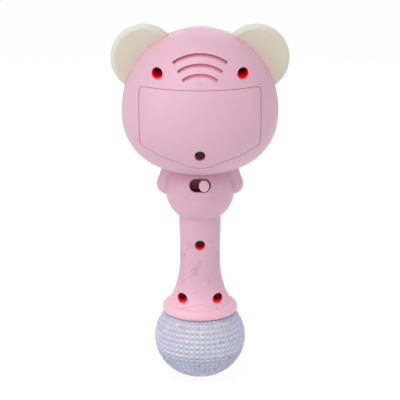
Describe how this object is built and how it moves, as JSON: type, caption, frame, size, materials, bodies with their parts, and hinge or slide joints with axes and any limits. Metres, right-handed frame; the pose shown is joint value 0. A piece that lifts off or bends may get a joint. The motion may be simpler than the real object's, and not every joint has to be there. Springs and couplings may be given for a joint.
{
  "type": "toy microphone",
  "caption": "Hand-held toy microphone with a round bear head, two ears, short arms, a flared handle and a clear faceted light ball; battery cover, volume slide and push button move",
  "frame": {"origin": "on the handle's axis at the middle of the round grip", "axes": "+Z from the ball up to the head, -Y the side with the face, +Y the side with the battery cover, +X the bear's left"},
  "size_m": [0.1002, 0.0946, 0.2094],
  "materials": {
    "pink_shell": "moulded ABS, satin, fine even surface",
    "cream_ear": "soft milky vinyl, satin",
    "clear_ball": "clear moulded polystyrene with small pyramid facets",
    "steel_screw": "blackened steel",
    "contact": "nickel plated spring strip",
    "cell_jacket": "plain printed sleeve, no lettering",
    "board": "printed circuit board",
    "black_part": "black plastic or epoxy",
    "white_part": "white plastic",
    "cream_part": "cream ABS, satin",
    "dark_part": "dark brown, polished",
    "knob": "moulded ABS, satin",
    "speaker_steel": "pressed steel",
    "paper_cone": "treated paper",
    "gasket": "foam gasket",
    "red_lead": "PVC insulation",
    "black_lead": "PVC insulation",
    "led": "clear epoxy lamp"
  },
  "bodies": {
    "housing": {"back_shell": "pink_shell", "front_shell": "pink_shell", "ear_left": "cream_ear", "ear_right": "cream_ear", "ball_cap": "clear_ball", "ball_bowl": "clear_ball", "led_board": "board", "ball_leds": "led", "main_board": "board", "board_screws": "steel_screw", "slide_switch_body": "speaker_steel", "chip_blob": "black_part", "board_components": "black_part", "tact_switch": "black_part", "eye_left": "dark_part", "eye_right": "dark_part", "muzzle": "cream_part", "nose": "dark_part", "head_screws": "steel_screw", "handle_screw": "steel_screw", "flange_screws": "steel_screw", "battery_low": "cell_jacket", "battery_middle": "cell_jacket", "battery_high": "cell_jacket", "contact_positive": "contact", "contact_negative": "contact", "contact_bridge_left": "contact", "contact_bridge_right": "contact", "speaker_frame": "speaker_steel", "speaker_magnet": "speaker_steel", "speaker_cone": "paper_cone", "speaker_gasket": "gasket", "led_lead_black": "black_lead", "led_lead_red": "red_lead", "speaker_lead_black": "black_lead", "speaker_lead_red": "red_lead", "battery_lead_red": "red_lead", "battery_lead_black": "black_lead"},
    "cover": {"battery_cover": "pink_shell", "cover_screw": "steel_screw", "cover_screw_retainer": "gasket"},
    "volume_knob": {"switch_knob": "knob", "switch_lever": "black_part"},
    "button": {"music_button": "cream_part"}
  },
  "joints": [
    {"name": "cover_lift", "type": "slide", "parent": "housing", "child": "cover", "axis": [0, 1, 0], "range_m": [0, 0.03]},
    {"name": "volume_slide", "type": "slide", "parent": "housing", "child": "volume_knob", "axis": [1, 0, 0], "range_m": [0, 0.0046]},
    {"name": "button_press", "type": "slide", "parent": "housing", "child": "button", "axis": [0, 1, 0], "range_m": [0, 0.001], "stiffness_N_per_m": 300}
  ]
}
